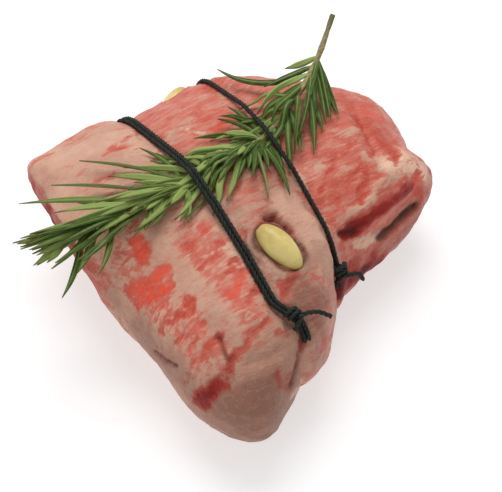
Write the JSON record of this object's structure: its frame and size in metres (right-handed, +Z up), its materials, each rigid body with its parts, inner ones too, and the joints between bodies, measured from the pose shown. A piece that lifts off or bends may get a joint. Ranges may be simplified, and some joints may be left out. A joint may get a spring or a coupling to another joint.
{
  "type": "tied raw lamb joint",
  "caption": "Raw boned lamb joint rolled and tied with dark twine, a rosemary sprig held under the twine and garlic cloves pushed into slits in the meat.",
  "frame": {"origin": "centre of the whole part's footprint, on the flat underside of the meat", "axes": "+X along the roll towards the end with the sprig's bare stem, +Y across the roll away from the near clove, +Z up"},
  "size_m": [0.181, 0.1662, 0.0927],
  "materials": {
    "meat": null,
    "garlic": null,
    "rosemary": null,
    "twine": "dark twisted cotton"
  },
  "bodies": {
    "root": {"lamb_joint": "meat", "garlic_clove_near": "garlic", "garlic_clove_far": "garlic", "rosemary_sprig": "rosemary", "twine_left": "twine", "twine_right": "twine"}
  },
  "joints": []
}
